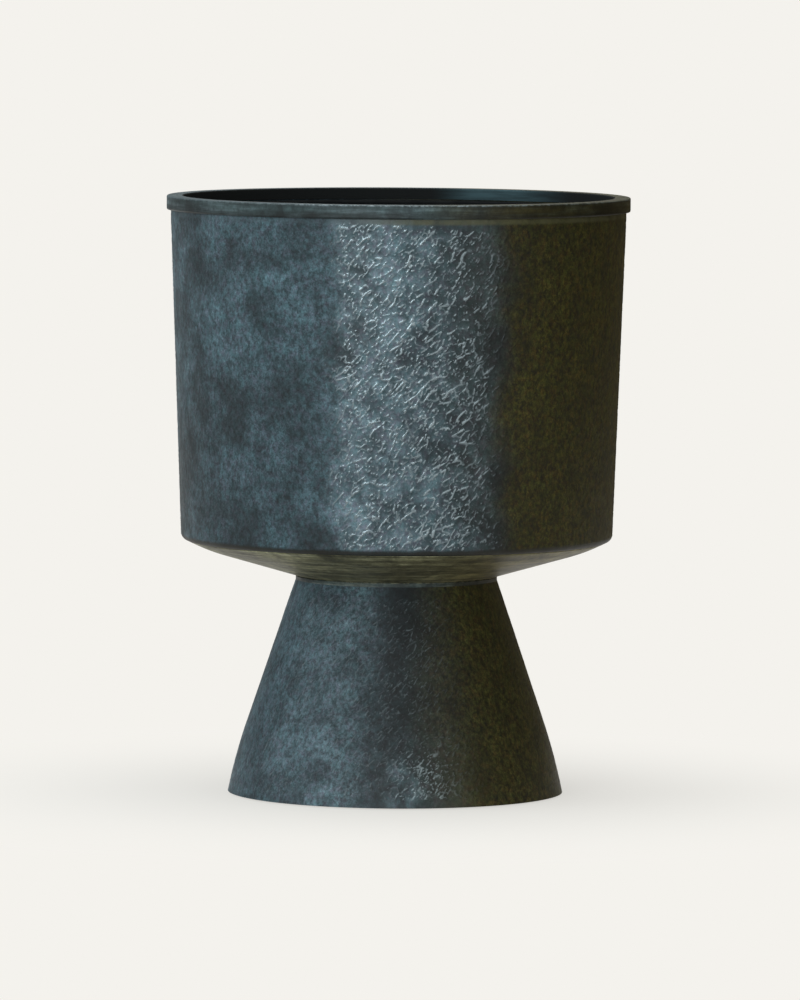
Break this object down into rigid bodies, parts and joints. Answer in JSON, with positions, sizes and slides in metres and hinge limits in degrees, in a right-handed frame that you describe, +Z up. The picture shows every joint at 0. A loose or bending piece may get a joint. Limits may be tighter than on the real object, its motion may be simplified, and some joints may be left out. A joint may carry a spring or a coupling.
{
  "type": "pedestal planter",
  "caption": "Round pedestal planter in dark textured sheet metal: a tapered drum with a smooth rim band on a flared foot, with a lift-out liner and a drain plug.",
  "frame": {"origin": "centre of the circle that the foot pads stand on, in the floor plane, on the object's own axis", "axes": "+Z up along the object's axis; -Y is the front that the picture shows; +Y is the back, where the seams of the rolled sheets are"},
  "size_m": [0.31, 0.31, 0.4],
  "materials": {
    "textured_metal": "blackened and waxed, blue-grey patina over a raised broken ridge texture",
    "smooth_metal": "blackened and waxed, smooth with faint turning streaks",
    "inner_steel": "plain black primer, matt",
    "fastener_steel": "zinc plated, dull",
    "rubber": "matt black",
    "liner_plastic": "moulded, black, fine satin"
  },
  "bodies": {
    "planter": {"rim_band": "smooth_metal", "rim_hoop": "inner_steel", "drum_wall": "textured_metal", "drum_seam_strip": "inner_steel", "bowl_bottom": "smooth_metal", "neck_ring": "smooth_metal", "pedestal_shell": "textured_metal", "pedestal_seam_strip": "inner_steel", "pedestal_top_plate": "inner_steel", "foot_ring": "inner_steel", "foot_pads": "rubber", "neck_bolts": "fastener_steel", "bolt_washers": "fastener_steel", "sealing_washers": "rubber", "nut_washers": "fastener_steel", "neck_nuts": "fastener_steel"},
    "drain_plug": {"drain_plug": "rubber"},
    "liner": {"liner": "liner_plastic"}
  },
  "joints": [
    {"name": "liner_lift", "type": "slide", "parent": "planter", "child": "liner", "axis": [0, 0, 1], "range_m": [0, 0.24]},
    {"name": "plug_lift", "type": "slide", "parent": "planter", "child": "drain_plug", "axis": [0, 0, 1], "range_m": [0, 0.009]}
  ]
}
